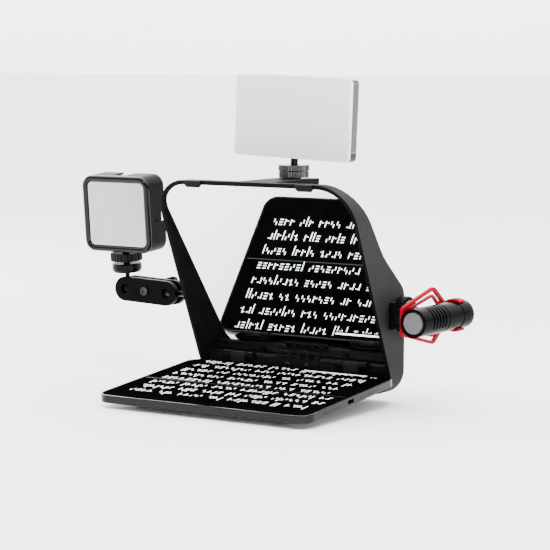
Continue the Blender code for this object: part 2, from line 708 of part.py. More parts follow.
def panel_base():
    """The foot in the top shoe, its shaft, and the two knurled rings on it."""
    floor = TOP_SLOT_FLOOR + GAP
    foot = shoe_foot("panel_foot", (0, PANEL_Y, floor + FOOT_THICK / 2), None, 0.0060, HOOD_TOP + GAP - floor)
    start = HOOD_TOP - 0.0010
    middle = (0, PANEL_Y, (SHAFT_TOP + start) / 2)
    join(foot, rod("panel_shaft", SHAFT_RADIUS, SHAFT_TOP - start, middle, None))
    lower, upper = (0, PANEL_Y, LOWER_RING_Z), (0, PANEL_Y, UPPER_RING_Z)
    lock_ring("panel_lower_ring", 0.0121, 0.0050, lower, panel_lower_axis, hole=RING_BORE, ridges=36)
    lock_ring("panel_upper_ring", 0.0124, 0.0046, upper, panel_upper_axis, hole=RING_BORE, ridges=36)


# ---------------------------------------------------------------- ball arm and small light


def hood_ball_stud():
    """The ball on the hood's left wall, on a neck that runs in to the wall."""
    reach = -HOOD_WIDTH / 2 - GAP - HOOD_BALL.x
    stud = ball("hood_ball_stud", BALL_RADIUS, HOOD_BALL, "black_metal")
    join(stud, rod("hood_ball_neck", 0.0026, reach, HOOD_BALL + AWAY["X"] * (reach / 2), None, facing="X",
                   sides=16))


def arm():
    """Two cheeks with round windows over both balls, clamped by one bolt with a wing lever on its back."""
    run = HOOD_BALL.x - LIGHT_BALL.x
    drop = HOOD_BALL.z - LIGHT_BALL.z
    middle = (HOOD_BALL + LIGHT_BALL) / 2
    tilt = math.atan2(drop, run)
    outline = stadium(math.hypot(run, drop), ARM_RADIUS)
    outside = ARM_GAP / 2 + CHEEK_THICK
    for name, side in (("arm_front_cheek", -1), ("arm_rear_cheek", 1)):
        at = middle + Vector((0, side * (ARM_GAP + CHEEK_THICK) / 2, 0))
        cheek = plate(name, [outline, circle(0.0022, 16)], CHEEK_THICK, at, "black_metal", arm_axis, "Y")
        cheek.rotation_euler.y -= tilt
        bevel(cheek, 0.0010, 2, 60)
        for end, centre in (("hood", HOOD_BALL), ("light", LIGHT_BALL)):
            cut(cheek, ball(name + "_cup_" + end, BALL_RADIUS + BALL_PLAY, centre, None, arm_axis),
                rod(name + "_window_" + end, 0.0041, 0.0240, centre, None, arm_axis, "Y", 20))
    bolt = rod("arm_bolt", 0.0019, 0.0190, middle + Vector((0, 0.0005, 0)), "steel", arm_axis, "Y", 16)
    head = middle + Vector((0, -outside - GAP - 0.0007, 0))
    join(bolt, rod("arm_bolt_head", 0.0036, 0.0014, head, None, arm_axis, "Y"))
    face = head - Vector((0, 0.0010, 0))
    cut(bolt, plate("arm_bolt_hex", [circle(0.0020, 6)], 0.0020, face, None, arm_axis, "Y"))
    hub = middle + Vector((0, outside + GAP + 0.0035, 0))
    lever = rod("arm_lever", 0.0055, 0.0070, hub, "black_metal", lever_axis, "Y")
    wing = rounded([(-0.0030, 0.0010, 0), (0.0030, -0.0030, 0), (0.0200, 0.0045, 0.0030),
                    (0.0165, 0.0120, 0.0035), (0.0030, 0.0085, 0)])
    join(lever, plate("arm_lever_blade", [wing], 0.0040, hub + Vector((0, 0.0010, 0)), None, lever_axis, "Y"))
    depth = hub - Vector((0, 0.0030, 0))
    cut(lever, rod("arm_lever_bore", 0.0021, 0.0100, depth, None, lever_axis, "Y", 16))


def cube_light():
    """The small square light: an open housing with two shoe slots, a bezel and a diffuser."""
    x, y, bottom = LIGHT_X, LIGHT_BALL.y, CUBE_BOTTOM
    middle = bottom + CUBE_HEIGHT / 2
    housing = plate("cube_housing", [rectangle(CUBE_WIDTH, CUBE_HEIGHT, 0.0095)], CUBE_DEPTH - 0.0040,
                    (x, y + 0.0020, middle), "black_plastic", cube_axis, "Y")
    bevel(housing, 0.0016, 2, 60)
    room = rectangle(CUBE_WIDTH - 0.0120, CUBE_HEIGHT - 0.0120, 0.0050)
    cut(housing, plate("cube_room", [room], CUBE_DEPTH, (x, y - 0.0040, middle), None, cube_axis, "Y"),
        rod("cube_socket", 0.0032, 0.0300, (x, y, bottom), None, cube_axis, sides=16),
        box("cube_key_hole", (0.0080, 0.0100, 0.0066), CUBE_KEY, None, cube_axis))
    start, end = y - 0.0030, y + 0.0200
    for place_name, across, out in (("top", Vector((1, 0, 0)), Vector((0, 0, 1))),
                                    ("side", Vector((0, 0, 1)), Vector((1, 0, 0)))):
        reach = CUBE_HEIGHT / 2 if place_name == "top" else CUBE_WIDTH / 2
        middle_point = Vector((x, 0, middle))
        for part_name, half, deep, shallow in (("slot", SLOT_HALF, -0.0040, -0.0015),
                                               ("mouth", MOUTH_HALF, -0.0020, 0.0030)):
            low = middle_point - across * half + out * (reach + deep)
            high = middle_point + across * half + out * (reach + shallow)
            low.y, high.y = start, end
            cut(housing, span("cube_" + place_name + "_" + part_name, low, high, None, cube_axis))
    bezel = plate("cube_bezel", [rectangle(CUBE_WIDTH, CUBE_HEIGHT, 0.0095),
                                 rectangle(CUBE_WIDTH - 0.0100, CUBE_HEIGHT - 0.0100, 0.0045)], 0.0040 - GAP,
                  (x, y - CUBE_DEPTH / 2 + 0.0020 - GAP / 2, middle), "gloss_black", cube_axis, "Y")
    bevel(bezel, 0.0010, 1, 60)
    plate("cube_diffuser", [rectangle(CUBE_WIDTH - 0.0106, CUBE_HEIGHT - 0.0106, 0.0042)], 0.0016,
          (x, y - CUBE_DEPTH / 2 + 0.0027, middle), "grey_diffuser", cube_axis, "Y")
    plate("cube_led_board", [rectangle(CUBE_WIDTH - 0.0130, CUBE_HEIGHT - 0.0130, 0.0060)], 0.0014,
          (x, y - CUBE_DEPTH / 2 + 0.0070, middle), "board", cube_axis, "Y")
    box("cube_key", (0.0074, 0.0050, 0.0060), CUBE_KEY, "gloss_black", cube_key_axis)


def cube_base():
    """What the small light stands on: the stud and lower disc, one with the ball, and the locking disc."""
    _, y, z = LIGHT_BALL
    profile = [(0, 0.0895 - z), (0.0029, 0.0895 - z), (0.0029, 0.0775 - z), (0.0115, 0.0775 - z),
               (0.0125, 0.0765 - z), (0.0125, 0.0725 - z), (0.0112, 0.0702 - z), (0.0034, 0.0690 - z),
               (0.0019, 0.0680 - z), (0.0019, 0.0600 - z), (0, 0.0600 - z)]
    base = turned("cube_stand", profile, (LIGHT_X, y, z), "black_metal", cube_pivot)
    join(base, ball("cube_ball", BALL_RADIUS, LIGHT_BALL, None, cube_pivot))
    lock_ring("cube_lock_ring", 0.0135, 0.0066, (LIGHT_X, y, CUBE_RING_Z), cube_ring_axis, ridges=28)


# ---------------------------------------------------------------- microphone


def microphone():
    """A slim tube along Y: body with sound slots, mesh front, and an output socket behind."""
    x, _, z = MIC_AXIS
    front, back = MIC_FRONT, MIC_FRONT + MIC_LENGTH
    length = back - front
    r = MIC_RADIUS
    profile = [(0, -0.0020), (0.0094, -0.0020), (0.0094, 0), (r, 0), (r, -0.0382), (r - 0.0005, -0.0386),
               (r - 0.0005, -0.0400), (r, -0.0404), (r, -0.0540), (r - 0.0005, -0.0544), (r - 0.0005, -0.0636),
               (r, -0.0640), (r, -length + 0.0020), (r - 0.0010, -length), (0.0040, -length),
               (0.0040, -length + 0.0040), (0, -length + 0.0040)]
    body = turned("mic_body", profile, (x, front, z), "black_metal", mic_axis, "Y", 36)
    slots = [sector(r - 0.0012, r + 0.0020, -30, 80), sector(r - 0.0012, r + 0.0020, 100, 210)]
    for k in range(5):
        at = (x, front + 0.0142 + 0.0048 * k, z)
        cut(body, plate("mic_slots_" + str(k), slots, 0.0022, at, None, mic_axis, "Y"))
    rod("mic_grille", 0.0090, 0.0014, (x, front + 0.0010, z), "mesh_grey", mic_axis, "Y", 32)
    rod("mic_socket", 0.0038, 0.0090, (x, back + 0.0010, z), "black_plastic", mic_axis, "Y", 6)


def mirrored(corners, level):
    """A closed outline from corners above a level, repeated below it."""
    above = [(u, level + v, radius) for u, v, radius in corners]
    below = [(u, level - v, radius) for u, v, radius in reversed(corners)]
    return rounded(above + below)


def mic_mount():
    """The shock mount: a base on the lock nut's shaft and a slotted red lyre with a clip round the tube."""
    shaft = SIDE_SHOE
    bar = rounded([(0.1190, -0.0035, 0.002), (0.1400, -0.0060, 0), (0.1500, -0.0060, 0.004),
                   (0.1500, 0.0060, 0.004), (0.1400, 0.0060, 0), (0.1190, 0.0035, 0.002)])
    plate("mic_mount_base", [[(y, v + shaft.z) for y, v in bar]], MOUNT_THICK, (MOUNT_X, 0, 0), "black_metal",
          mount_axis, "X")
    x, _, z = MIC_AXIS
    rim = [(0.1172, 0.0110, 0.0040), (0.1678, 0.0233, 0.0080), (0.1860, 0.0095, 0.0020)]
    hole = [(0.1260, 0.0075, 0.0030), (0.1655, 0.0152, 0.0040), (0.1765, 0.0060, 0.0010)]
    lyre_x = 0.1111
    lyre = plate("mic_lyre", [mirrored(rim, z), mirrored(hole, z)], 0.0026, (lyre_x, 0, 0), "red_plastic",
                 mount_axis, "X")
    for name, side in (("upper", 1), ("lower", -1)):
        slot = rounded([(y, z + side * v, radius) for y, v, radius in
                        ((0.1300, 0.0117, 0), (0.1665, 0.0204, 0.0040), (0.1795, 0.0105, 0),
                         (0.1775, 0.0085, 0), (0.1655, 0.0170, 0.0030), (0.1300, 0.0098, 0))])
        cut(lyre, plate("lyre_slot_" + name, [slot], 0.008, (lyre_x, 0, 0), None, mount_axis, "X"))
    join(lyre, plate("clip_ring", [sector(MIC_RADIUS + 0.0002, MIC_RADIUS + 0.0020, 62, 298, 20)], 0.0080,
                     (x, 0.1810, z), None, mount_axis, "Y"))


def mic_foot():
    """The microphone's foot in the side shoe, its shaft and the big knurled lock nut."""
    x, y, z = SIDE_SHOE
    start = x + SHOE_FLOOR + GAP
    end = MOUNT_X - MOUNT_THICK / 2 - GAP
    shoe_foot("mic_foot", (start + FOOT_THICK / 2, y, z), None, SHAFT_RADIUS, end - start, "X")
    lock_ring("mic_lock_nut", 0.0143, 0.0070, (NUT_X, y, z), nut_axis, "X", hole=RING_BORE, ridges=30)


# ---------------------------------------------------------------- assembly

clear_scene()
PARTS = new_collection("teleprompter")
CUTTERS = new_collection("cutters")
ORIGINS = {}
datum = bpy.data.objects.new("datum", None)
PARTS.objects.link(datum)
datum.location = DATUM

adapter_axis = empty("adapter_axis", (0, AXIS_Y, AXIS_Z))
screw_axis = empty("screw_axis", (0, SCREW_Y, AXIS_Z + COLLAR_RADIUS))
tray_axis = empty("tray_axis", HINGE, (TRAY_SLOPE, 0, 0))
panel_lower_axis = empty("panel_lower_axis", (0, PANEL_Y, HOOD_TOP))
panel_upper_axis = empty("panel_upper_axis", (0, PANEL_Y, HOOD_TOP + 0.0060))
panel_axis = empty("panel_axis", (0, PANEL_Y + 0.0005, STUD_PIVOT), (0, PANEL_LEAN, 0))
panel_key_axis = empty("panel_key_axis", PANEL_KEY, parent=panel_axis)
panel_dial_axis = empty("panel_dial_axis", PANEL_DIAL, parent=panel_axis)
arm_axis = empty("arm_axis", HOOD_BALL)
lever_axis = empty("lever_axis", (HOOD_BALL + LIGHT_BALL) / 2, parent=arm_axis)
cube_pivot = empty("cube_pivot", LIGHT_BALL, (CUBE_PITCH, 0, 0), arm_axis)
cube_axis = empty("cube_axis", (LIGHT_X, LIGHT_BALL.y, CUBE_BOTTOM), parent=cube_pivot)
cube_ring_axis = empty("cube_ring_axis", (LIGHT_X, LIGHT_BALL.y, CUBE_RING_Z), parent=cube_pivot)
cube_key_axis = empty("cube_key_axis", CUBE_KEY, parent=cube_axis)
nut_axis = empty("nut_axis", (NUT_X, SIDE_SHOE.y, SIDE_SHOE.z))
mount_axis = empty("mount_axis", (MOUNT_X, SIDE_SHOE.y, SIDE_SHOE.z))
mic_axis = empty("mic_axis", (MIC_AXIS.x, MIC_FRONT, MIC_AXIS.z), parent=mount_axis)

hood_frame()
rear_shell()
adapter_ring()
collar_screw()
beam_splitter()
for side, sign in (("left", -1), ("right", 1)):
    glass_clip("upper_clip_" + side, sign * 0.0520)
    lower_clip("lower_clip_" + side, sign * 0.0405)
    block_screw("block_screw_" + side, sign * 0.0090)
    hinge_bracket("hinge_bracket_" + side, sign * HINGE_X)
    hinge_pin("hinge_pin_" + side, sign * HINGE_X)
    tray_grip("tray_foot_" + side, sign * 0.0700)
apron()
slotted_block()
side_shoe()

tray_plate()
tray_pad()
tablet_case()
tablet_screen()
tablet_battery()
for key, place_y, length in TABLET_KEYS:
    pivot = empty(key + "_axis", on_tray(-TABLET_WIDTH / 2, place_y, TABLET_TOP - TABLET_THICK / 2),
                  parent=tray_axis)
    tablet_key("tablet_" + key, place_y, length, pivot)

panel_light()
panel_base()
hood_ball_stud()
arm()
cube_light()
cube_base()
microphone()
mic_mount()
mic_foot()
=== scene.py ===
import json
import math
import random

import bmesh
import bpy
from mathutils import Matrix, Vector

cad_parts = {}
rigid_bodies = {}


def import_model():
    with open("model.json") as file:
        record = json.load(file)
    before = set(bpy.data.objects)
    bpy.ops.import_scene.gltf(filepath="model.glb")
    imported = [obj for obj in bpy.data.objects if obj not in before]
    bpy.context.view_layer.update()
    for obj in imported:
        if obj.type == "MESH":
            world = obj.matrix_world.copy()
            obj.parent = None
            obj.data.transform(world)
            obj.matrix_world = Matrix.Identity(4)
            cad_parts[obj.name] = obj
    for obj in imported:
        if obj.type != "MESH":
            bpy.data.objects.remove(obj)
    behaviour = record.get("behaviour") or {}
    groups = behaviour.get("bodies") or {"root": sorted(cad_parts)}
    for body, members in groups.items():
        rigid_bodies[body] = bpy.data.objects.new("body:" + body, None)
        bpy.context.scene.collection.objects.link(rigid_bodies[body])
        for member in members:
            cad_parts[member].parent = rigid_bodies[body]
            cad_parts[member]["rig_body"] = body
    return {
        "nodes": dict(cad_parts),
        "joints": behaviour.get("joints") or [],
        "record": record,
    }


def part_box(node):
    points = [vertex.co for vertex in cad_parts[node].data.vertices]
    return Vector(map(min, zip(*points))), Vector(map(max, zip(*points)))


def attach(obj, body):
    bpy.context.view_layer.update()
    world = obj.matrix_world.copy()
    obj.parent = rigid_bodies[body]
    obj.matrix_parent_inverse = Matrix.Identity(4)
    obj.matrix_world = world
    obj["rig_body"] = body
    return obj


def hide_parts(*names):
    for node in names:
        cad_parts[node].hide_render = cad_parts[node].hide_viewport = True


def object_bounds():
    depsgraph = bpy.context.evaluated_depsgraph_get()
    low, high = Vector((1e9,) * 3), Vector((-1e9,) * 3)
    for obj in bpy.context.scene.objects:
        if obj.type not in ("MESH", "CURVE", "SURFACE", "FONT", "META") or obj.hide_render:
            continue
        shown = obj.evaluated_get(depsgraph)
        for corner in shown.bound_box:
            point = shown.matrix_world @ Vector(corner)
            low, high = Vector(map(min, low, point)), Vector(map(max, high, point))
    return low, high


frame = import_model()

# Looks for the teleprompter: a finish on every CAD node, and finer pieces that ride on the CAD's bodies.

CAD_LOW, CAD_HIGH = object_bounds()
NODES = frame["nodes"]
RECORD = frame["record"]
JOINTS = {joint["name"]: joint for joint in frame["joints"]}
SLOT_OF = {part["node"]: part["material_slot"] for part in RECORD["subparts"]}
MM = 0.001

# ---------------------------------------------------------------- camera, lights and floor

CAMERA_AZIMUTH = math.radians(33.44)
CAMERA_ELEVATION = math.radians(6.553)
CAMERA_DISTANCE = 1.7
LOOK_AT = Vector((0.0, -0.0903, -0.0060))
SENSOR = 36.0
FOCAL = 141.7
SHIFT = (0.0369, 0.0452)
ROOM_DIM = 0.55
ROOM_BRIGHT = 5.8
ROOM_TILT = math.radians(54)                # how far up the brightest part of the room stands
ROOM_DIM_BELOW, ROOM_BRIGHT_ABOVE = 0.15, 0.75
LIGHTS = (
    # name, place, side and power
    ("key", (0.7, -1.1, 1.5), 0.5, 30),
    ("left", (-1.6, 0.1, 0.35), 0.4, 34),
    ("right", (1.35, -0.85, 0.10), 0.3, 22),
)
LIGHTS_AIM = (0, -0.06, 0.0)
FLOOR_REACH = 20
FLOOR_PALE = 0.93
FLOOR_BELOW = 0.0005                        # how far the floor lies under the object


def make_camera():
    """A long lens at the photograph's angle."""
    azimuth, elevation = CAMERA_AZIMUTH, CAMERA_ELEVATION
    back = Vector((math.sin(azimuth) * math.cos(elevation), -math.cos(azimuth) * math.cos(elevation),
                   math.sin(elevation)))
    data = bpy.data.cameras.new("camera")
    data.sensor_width = SENSOR
    data.lens = FOCAL
    data.shift_x, data.shift_y = SHIFT
    camera = bpy.data.objects.new("camera", data)
    bpy.context.scene.collection.objects.link(camera)
    camera.location = LOOK_AT + back * CAMERA_DISTANCE
    camera.rotation_mode = "QUATERNION"
    camera.rotation_quaternion = (-back).to_track_quat("-Z", "Y")
    data.clip_start, data.clip_end = 0.01, 100
    bpy.context.scene.camera = camera


def soft_light(name, at, target, size, power):
    """A square area light that looks at a point."""
    data = bpy.data.lights.new(name, "AREA")
    data.shape = "SQUARE"
    data.size = size
    data.energy = power
    lamp = bpy.data.objects.new(name, data)
    bpy.context.scene.collection.objects.link(lamp)
    lamp.location = at
    lamp.rotation_mode = "QUATERNION"
    lamp.rotation_quaternion = (Vector(target) - Vector(at)).to_track_quat("-Z", "Y")


def make_world():
    """A room that is bright overhead and behind the hood, like a lit sweep, and dim in front."""
    world = bpy.data.worlds.new("studio")
    world.use_nodes = True
    tree = world.node_tree
    where = tree.nodes.new("ShaderNodeTexCoord").outputs["Generated"]
    toward = tree.nodes.new("ShaderNodeVectorMath")
    toward.operation = "DOT_PRODUCT"
    level, rise = math.cos(ROOM_TILT), math.sin(ROOM_TILT)
    away = (-math.sin(CAMERA_AZIMUTH), math.cos(CAMERA_AZIMUTH))
    toward.inputs[1].default_value = (away[0] * level, away[1] * level, rise)
    tree.links.new(where, toward.inputs[0])
    spread = tree.nodes.new("ShaderNodeMapRange")
    spread.interpolation_type = "SMOOTHSTEP"
    for socket, value in (("From Min", ROOM_DIM_BELOW), ("From Max", ROOM_BRIGHT_ABOVE), ("To Min", ROOM_DIM),
                          ("To Max", ROOM_BRIGHT)):
        spread.inputs[socket].default_value = value
    tree.links.new(toward.outputs["Value"], spread.inputs["Value"])
    tree.links.new(spread.outputs["Result"], tree.nodes["Background"].inputs["Strength"])
    tree.nodes["Background"].inputs["Color"].default_value = (1, 1, 1, 1)
    bpy.context.scene.world = world


def make_studio():
    """The room, three soft lights and a wide pale floor."""
    make_world()
    for name, at, size, power in LIGHTS:
        soft_light(name, at, LIGHTS_AIM, size, power)
    shape = bmesh.new()
    bmesh.ops.create_grid(shape, x_segments=2, y_segments=2, size=FLOOR_REACH)
    mesh = bpy.data.meshes.new("floor")
    shape.to_mesh(mesh)
    shape.free()
    floor = bpy.data.objects.new("floor", mesh)
    bpy.context.scene.collection.objects.link(floor)
    floor.location.z = CAD_LOW.z - FLOOR_BELOW
    pale = bpy.data.materials.new("floor")
    pale.use_nodes = True
    shader = pale.node_tree.nodes["Principled BSDF"]
    shader.inputs["Base Color"].default_value = (FLOOR_PALE, FLOOR_PALE, FLOOR_PALE, 1)
    shader.inputs["Roughness"].default_value = 0.9
    mesh.materials.append(pale)


# ---------------------------------------------------------------- materials

NOISE_RANGE = (0.3, 0.7)


class Nodes:
    """A material's node tree, built a node at a time."""

    def __init__(self, name):
        self.material = bpy.data.materials.new(name)
        self.material.use_nodes = True
        self.tree = self.material.node_tree
        self.shader = self.tree.nodes["Principled BSDF"]
        self.coords = self.add("ShaderNodeTexCoord").outputs["Object"]

    def add(self, kind, **settings):
        node = self.tree.nodes.new(kind)
        for key, value in settings.items():
            setattr(node, key, value)
        return node

    def link(self, source, target):
        self.tree.links.new(source, target)

    def noise(self, scale, detail, stretch=(1, 1, 1)):
        mapping = self.add("ShaderNodeMapping")
        mapping.inputs["Scale"].default_value = stretch
        self.link(self.coords, mapping.inputs["Vector"])
        noise = self.add("ShaderNodeTexNoise")
        noise.inputs["Scale"].default_value = scale
        noise.inputs["Detail"].default_value = detail
        self.link(mapping.outputs["Vector"], noise.inputs["Vector"])
        return noise.outputs["Fac"]

    def where(self):
        """The place on the object, as separate X, Y and Z outputs."""
        parts = self.add("ShaderNodeSeparateXYZ")
        self.link(self.coords, parts.inputs["Vector"])
        return parts.outputs

    def ramp(self, value, low, high):
        """A colour between two, across the range that most of a noise falls in."""
        ramp = self.add("ShaderNodeValToRGB")
        first, last = ramp.color_ramp.elements
        first.position, last.position = NOISE_RANGE
        first.color, last.color = (*low, 1), (*high, 1)
        self.link(value, ramp.inputs["Fac"])
        return ramp.outputs["Color"]

    def range(self, value, low, high):
        """A number between two, across the same range."""
        span = self.add("ShaderNodeMapRange")
        span.inputs["From Min"].default_value, span.inputs["From Max"].default_value = NOISE_RANGE
        span.inputs["To Min"].default_value = low
        span.inputs["To Max"].default_value = high
        self.link(value, span.inputs["Value"])
        return span.outputs["Result"]

    def math(self, operation, *values):
        node = self.add("ShaderNodeMath", operation=operation)
        for socket, value in zip(node.inputs, values):
            if isinstance(value, (int, float)):
                socket.default_value = value
            else:
                self.link(value, socket)
        return node.outputs["Value"]

    def mix(self, fac, first, second):
        node = self.add("ShaderNodeMix", data_type="RGBA")
        self.link(fac, node.inputs["Factor"])
        for socket, colour in ((node.inputs[6], first), (node.inputs[7], second)):
            if isinstance(colour, tuple):
                socket.default_value = (*colour, 1)
            else:
                self.link(colour, socket)
        return node.outputs[2]

    def bump(self, height, strength, distance):
        node = self.add("ShaderNodeBump")
        node.inputs["Strength"].default_value = strength
        node.inputs["Distance"].default_value = distance
        self.link(height, node.inputs["Height"])
        self.link(node.outputs["Normal"], self.shader.inputs["Normal"])

    def colour(self, output):
        self.link(output, self.shader.inputs["Base Color"])

    def rough(self, output):
        self.link(output, self.shader.inputs["Roughness"])


def shade(colour, factor):
    """A colour made darker or lighter."""
    return tuple(min(1.0, channel * factor) for channel in colour)


def grained(name, colour, rough, metallic=0.0, grain=2200, depth=0.03, spread=0.18, streak=(1, 1, 1),
            shine=0.5):
    """A surface with soft colour change, fine grain in its gloss and, where depth isn't 0, a fine relief."""
    nodes = Nodes(name)
    nodes.shader.inputs["Metallic"].default_value = metallic
    nodes.shader.inputs["Specular IOR Level"].default_value = shine
    cloud = nodes.noise(45, 4.0)
    fine = nodes.noise(grain, 3.0, streak)
    nodes.colour(nodes.ramp(cloud, shade(colour, 1 - spread), shade(colour, 1 + spread)))
    nodes.rough(nodes.range(fine, rough * 0.85, rough * 1.15))
    if depth:
        nodes.bump(fine, 0.35, depth * MM)
    return nodes


KNURL_RIDGES = 70.0
KNURL_FROM_END, KNURL_HALF = 5.0 * MM, 2.6 * MM
KNURL_HEIGHT = 8.0                          # against the grain of the tube
# width of the painted highlight along a diffuser's rim
RIM_HIGHLIGHT_WIDTH = 3.0 * MM
CAP_HEIGHT = 7.5 * MM
CAP_SHADE, CAP_LINE_SHADE = 0.10, 2.6
CAP_LINE_HALF = 0.35 * MM
OUTER_REACH = 0.030                         # an outer face lies further than this along its own normal
BOARD_WHITE = (0.62, 0.62, 0.58)
LAMP_YELLOW = (0.75, 0.58, 0.12)
LAMP_PITCH, WIDE_LAMP_PITCH = 6 * MM, 7 * MM
PANEL_GREY = (0.078, 0.078, 0.080)
GREY = (0.0165, 0.0165, 0.0171)
BLACK = (0.0020, 0.0020, 0.0021)


def hood_finish():
    """Grey satin outside; black on the front edge and the inner faces, told by which way a face looks."""
    nodes = grained("hood_metal", GREY, 0.55, shine=0.03)
    low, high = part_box("hood_frame")
    middle = (low + high) / 2
    where = nodes.where()
    normal = nodes.add("ShaderNodeSeparateXYZ")
    nodes.link(nodes.add("ShaderNodeTexCoord").outputs["Normal"], normal.inputs["Vector"])
    across = nodes.math("MULTIPLY", where["X"], normal.outputs["X"])
    up = nodes.math("MULTIPLY", nodes.math("SUBTRACT", where["Z"], middle.z), normal.outputs["Z"])
    outward = nodes.math("GREATER_THAN", nodes.math("ADD", across, up), OUTER_REACH)
    cloud = nodes.noise(60, 4.0)
    grey = nodes.ramp(cloud, shade(GREY, 0.9), shade(GREY, 1.1))
    black = nodes.ramp(cloud, shade(BLACK, 0.8), shade(BLACK, 1.2))
    nodes.colour(nodes.mix(outward, black, grey))
    return nodes.material


def diffuser_finish(name, node, colour, pitch):
    """Milky plastic with the faint grid of the lamps behind it, and a painted highlight that whitens its rim
    where light would catch the bevelled edges.
    """
    nodes = grained(name, colour, 0.42, grain=1500, depth=0.01)
    low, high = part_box(node)
    where = nodes.where()
    waves, reach = [], []
    for axis, number in (("X", 0), ("Z", 2)):
        waves.append(nodes.math("COSINE", nodes.math("MULTIPLY", where[axis], 2 * math.pi / pitch)))
        middle, half = (low[number] + high[number]) / 2, (high[number] - low[number]) / 2
        offset = nodes.math("ABSOLUTE", nodes.math("SUBTRACT", where[axis], middle))
        reach.append(nodes.math("SUBTRACT", offset, half - RIM_HIGHLIGHT_WIDTH))
    spots = nodes.math("MULTIPLY_ADD", nodes.math("MULTIPLY", *waves), 0.25, 0.5)
    face = nodes.ramp(spots, shade(colour, 0.975), shade(colour, 1.015))
    # painted highlight: the colour turns whiter across a band along the rim, standing in for light caught by
    # the edges
    rim_highlight = nodes.math("MULTIPLY", nodes.math("MAXIMUM", *reach), 1 / RIM_HIGHLIGHT_WIDTH)
    nodes.colour(nodes.mix(nodes.math("MAXIMUM", rim_highlight, 0.0), face, shade(colour, 1.25)))
    return nodes.material


def panel_metal():
    """Satin aluminium with dark end caps top and bottom, each set off by a light line."""
    nodes = grained("aluminium", PANEL_GREY, 0.32, 0.7, grain=900, depth=0.01, streak=(1, 1, 0.05))
    low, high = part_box("panel_housing")
    where = nodes.where()
    offset = nodes.math("ABSOLUTE", nodes.math("SUBTRACT", where["Z"], (low.z + high.z) / 2))
    edge = (high.z - low.z) / 2 - CAP_HEIGHT
    cap = nodes.math("GREATER_THAN", offset, edge)
    line = nodes.math("COMPARE", offset, edge, CAP_LINE_HALF)
    satin = nodes.ramp(nodes.noise(60, 4.0), shade(PANEL_GREY, 0.95), shade(PANEL_GREY, 1.05))
    capped = nodes.mix(cap, satin, shade(PANEL_GREY, CAP_SHADE))
    nodes.colour(nodes.mix(line, capped, shade(PANEL_GREY, CAP_LINE_SHADE)))
    return nodes.material


def mic_finish():
    """Gloss black with a band of fine knurl round the rear, cut as relief into the tube."""
    nodes = grained("mic_metal", (0.0016, 0.0016, 0.0017), 0.17, depth=0, shine=0.010)
    low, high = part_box("mic_body")
    middle = (low + high) / 2
    where = nodes.where()
    turn = nodes.math("ARCTAN2", nodes.math("SUBTRACT", where["Z"], middle.z),
                      nodes.math("SUBTRACT", where["X"], middle.x))
    ridges = nodes.math("COSINE", nodes.math("MULTIPLY", turn, KNURL_RIDGES))
    band = nodes.math("COMPARE", where["Y"], high.y - KNURL_FROM_END, KNURL_HALF)
    fine = nodes.noise(3000, 3.0, (1, 1, 0.06))
    relief = nodes.math("MULTIPLY_ADD", nodes.math("MULTIPLY", ridges, band), KNURL_HEIGHT, fine)
    nodes.bump(relief, 0.5, 0.02 * MM)
    return nodes.material


def board_finish():
    """White solder mask with rows of small yellow lamps."""
    nodes = grained("board", BOARD_WHITE, 0.5, spread=0.04)
    where = nodes.where()
    waves = []
    for axis in ("X", "Z"):
        waves.append(nodes.math("COSINE", nodes.math("MULTIPLY", where[axis], 2 * math.pi / LAMP_PITCH)))
    lamp = nodes.math("GREATER_THAN", nodes.math("MULTIPLY", *waves), 0.55)
    nodes.colour(nodes.mix(lamp, BOARD_WHITE, LAMP_YELLOW))
    return nodes.material


def glowing(name, colour, strength):
    """A lit mark on the screen."""
    nodes = grained(name, colour, 0.3, spread=0.02)
    nodes.shader.inputs["Emission Color"].default_value = (*colour, 1)
    nodes.shader.inputs["Emission Strength"].default_value = strength
    return nodes.material


